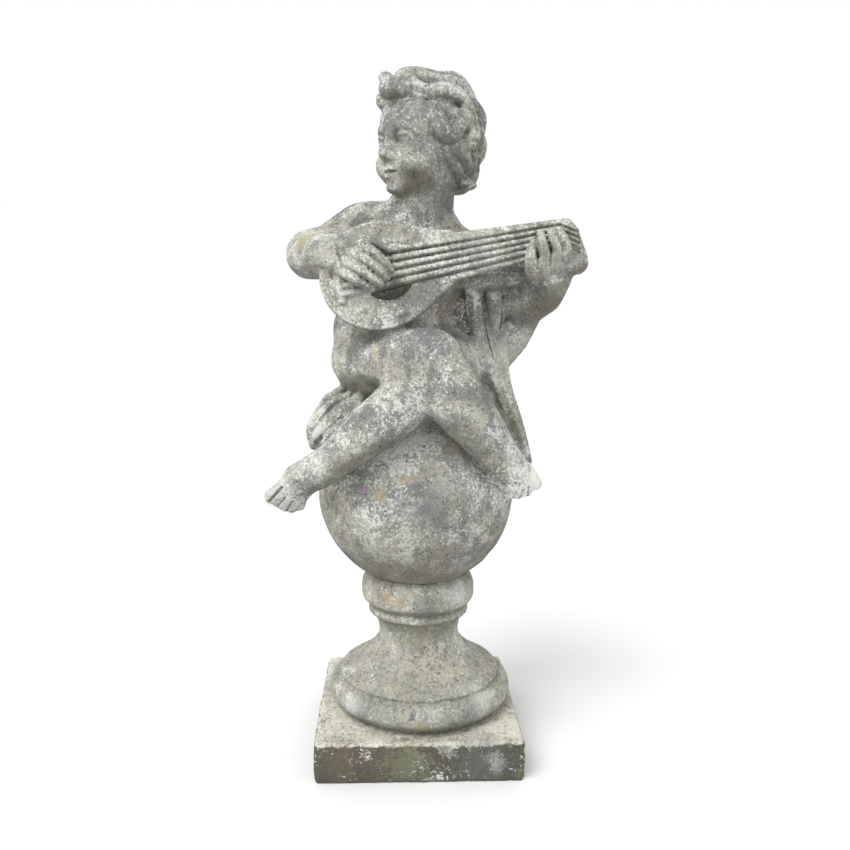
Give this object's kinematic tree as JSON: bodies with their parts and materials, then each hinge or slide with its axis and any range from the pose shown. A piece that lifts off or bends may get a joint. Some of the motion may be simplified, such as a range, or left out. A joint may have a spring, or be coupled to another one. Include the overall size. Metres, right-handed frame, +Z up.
{
  "type": "stone cherub statue",
  "caption": "Weathered cast stone cherub that sits cross-legged on a ball and plays a lute, on a turned foot with a square plinth.",
  "frame": {"origin": "middle of the plinth's flat underside", "axes": "+Z up, the figure faces -Y, +X is the viewer's right (the figure's left)"},
  "size_m": [0.4545, 0.3363, 1.0219],
  "materials": {
    "stone": "weathered pale grey-beige cast stone, matt and pitted, with lichen, algae and dark dirt in its hollows"
  },
  "bodies": {
    "root": {"cherub_statue": "stone"}
  },
  "joints": []
}
